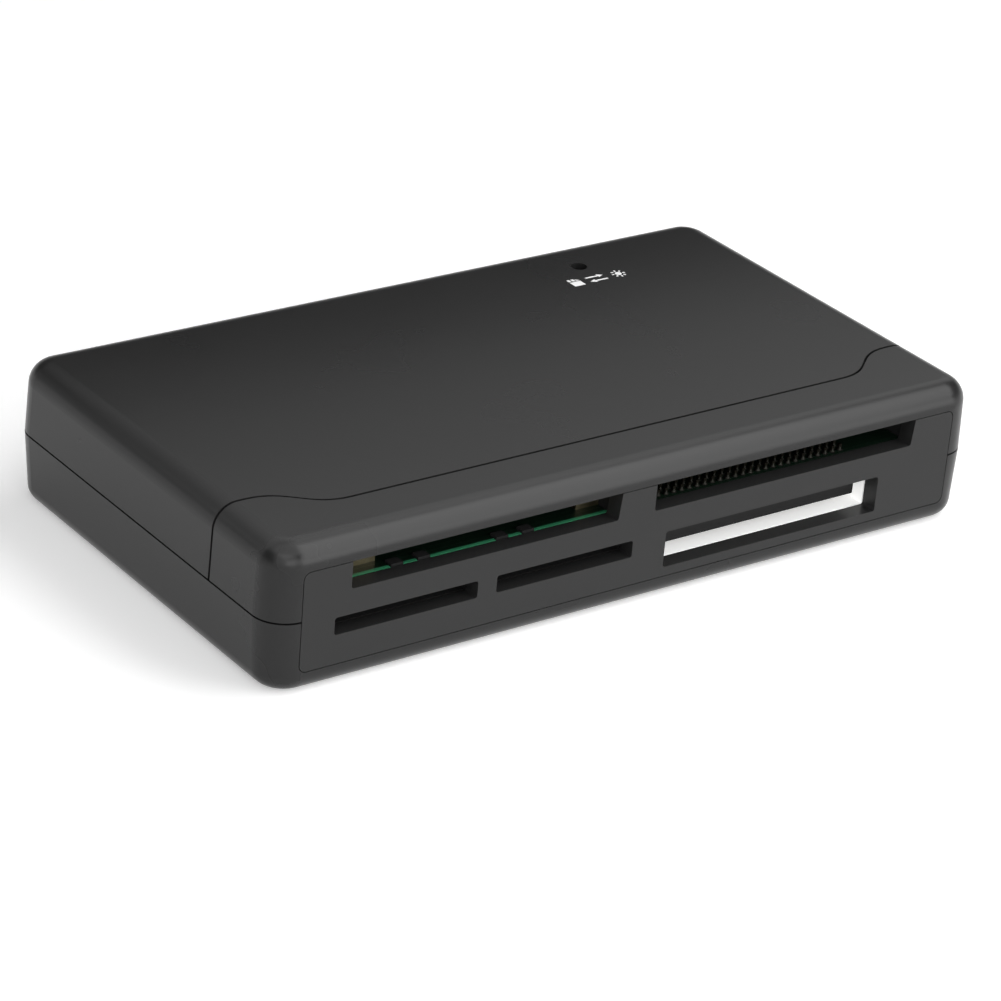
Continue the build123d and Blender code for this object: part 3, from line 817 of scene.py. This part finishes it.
@dataclass
class Stage:
    """Pale floor, soft light and the camera."""

    floor_radius: float = 4.0
    floor_sides: int = 96
    floor_colour: Colour = (0.82, 0.82, 0.82)
    floor_lift: float = 0.32
    floor_drop: float = 0.02
    camera_place: tuple[float, float, float] = (-280.84, -369.49, 230.54)
    camera_azimuth: float = -37.347
    camera_elevation: float = 26.373
    camera_roll: float = 4.817
    camera_lens: float = 138.12
    sensor: float = 36.0
    world_levels: tuple[tuple[float, float], ...] = (
        (0.0, 0.8), (0.1, 0.8), (0.2, 0.01), (1.0, 0.01))
    boxes: tuple[Softbox, ...] = (
        Softbox("key_softbox", place=(0.513, -0.427, 0.675), facing=(-0.54, 0.45, -0.71),
                width=0.5, height=1.0, radiance=1.9, upright=(0.0, 0.835, 0.55)),
        Softbox("bank_softbox", place=(0.513, -0.329, 0.727), facing=(-0.54, 0.347, -0.766),
                width=0.5, height=1.7, radiance=1.47, upright=(0.0, 0.904, 0.428)),
        Softbox("low_softbox", place=(0.513, -0.782, 0.161), facing=(-0.54, 0.823, -0.17),
                width=0.6, height=0.3, radiance=2.5, upright=(0.0, 0.185, 0.983)),
        Softbox("front_softbox", place=(-0.1, -0.75, 0.26), facing=(0.12, 0.94, -0.32),
                width=0.9, height=0.3, radiance=1.8),
        Softbox("top_softbox", place=(-0.25, -0.2, 1.0), facing=(0.24, 0.19, -0.95),
                width=1.4, height=1.4, radiance=0.5, upright=(0.0, 1.0, 0.0)),
        Softbox("fill_softbox", place=(-0.62, -0.72, 0.55), facing=(0.56, 0.65, -0.5),
                width=1.3, height=0.9, radiance=1.15),
        Softbox("side_softbox", place=(-0.66, 0.71, 0.24), facing=(0.66, -0.71, -0.24),
                width=0.7, height=0.5, radiance=0.35),
        Softbox("crown_card", place=(-0.2, -0.25, 0.98), facing=(0.19, 0.24, -0.95),
                width=1.2, height=1.2, radiance=0.9, upright=(0.0, 1.0, 0.0), mirrored_only=True),
        Softbox("rear_card_low", place=(0.05, 0.08, 0.085), facing=(0.0, -1.0, 0.0),
                width=0.5, height=0.05, radiance=0.45, mirrored_only=True),
        Softbox("rear_card_high", place=(0.05, 0.08, 0.19), facing=(0.0, -1.0, 0.0),
                width=0.5, height=0.16, radiance=1.1, mirrored_only=True),
    )

    def floor(self) -> None:
        """A wide pale disc, shown at its full white where no shadow falls."""
        form = bmesh.new()
        bmesh.ops.create_circle(form, cap_ends=True, segments=self.floor_sides, radius=self.floor_radius)
        mesh = bpy.data.meshes.new("floor")
        form.to_mesh(mesh)
        form.free()
        mesh.transform(Matrix.Translation((0, 0, -self.floor_drop * MM)))
        material, sketch = new_material("floor_paper")
        paper = sketch.node("ShaderNodeBsdfDiffuse", {"Color": opaque(self.floor_colour)})
        rays = sketch.node("ShaderNodeLightPath").outputs
        seen = sketch.math("MAXIMUM", rays["Is Camera Ray"],
                           sketch.math("MAXIMUM", rays["Is Glossy Ray"], rays["Is Transmission Ray"]))
        lift = sketch.math("MULTIPLY", seen, self.floor_lift)
        glow = sketch.node("ShaderNodeEmission", {"Strength": lift})
        both = sketch.node("ShaderNodeAddShader", {0: paper.outputs[0], 1: glow.outputs[0]})
        sketch.node("ShaderNodeOutputMaterial", {"Surface": both.outputs[0]})
        mesh.materials.append(material)
        new_object("floor", mesh)

    def world(self) -> None:
        """Plain surroundings: pale up to a little above the horizon, and dim from there upwards."""
        world = bpy.data.worlds.new("studio")
        bpy.context.scene.world = world
        world.use_nodes = True
        world.node_tree.nodes.clear()
        sketch = TreeSketch(world.node_tree)
        way = sketch.node("ShaderNodeTexCoord").outputs["Generated"]
        rise = sketch.node("ShaderNodeSeparateXYZ", {0: way}).outputs[2]
        ramp = sketch.node("ShaderNodeValToRGB", {0: rise})
        stops = ramp.color_ramp.elements
        for index, (place, level) in enumerate(self.world_levels):
            stop = stops[index] if index < len(stops) else stops.new(place)
            stop.position = place
            stop.color = opaque((level, level, level))
        light = sketch.node("ShaderNodeBackground", {"Color": ramp.outputs[0]})
        sketch.node("ShaderNodeOutputWorld", {"Surface": light.outputs[0]})

    def camera(self) -> None:
        """Camera at the photograph's place and angle."""
        turn, rise, roll = (math.radians(angle) for angle in (
            self.camera_azimuth, self.camera_elevation, self.camera_roll))
        back = Vector((math.sin(turn) * math.cos(rise), -math.cos(turn) * math.cos(rise), math.sin(rise)))
        level = Vector((math.cos(turn), math.sin(turn), 0.0))
        upright = back.cross(level)
        right = level * math.cos(roll) + upright * math.sin(roll)
        lens = bpy.data.cameras.new("camera")
        lens.lens = self.camera_lens
        lens.sensor_width = self.sensor
        lens.clip_start = MM
        made = new_object("camera", lens)
        pose = Matrix((right, back.cross(right), back)).transposed().to_4x4()
        made.matrix_world = Matrix.Translation(Vector(self.camera_place) * MM) @ pose
        bpy.context.scene.camera = made

    def build(self) -> None:
        """Set the whole stage."""
        bpy.context.scene.view_settings.view_transform = "Standard"
        self.floor()
        self.world()
        for box in self.boxes:
            box.build()
        self.camera()


def main() -> None:
    """Dress the reader, add its fine pieces and set the stage."""
    logging.basicConfig(level=logging.INFO, format="%(message)s")
    for assembly in (CaseMouldings(), CardSockets(), BoardAssembly(), PrintedSigns(), Stage()):
        assembly.build()


if __name__ == "__main__":
    main()
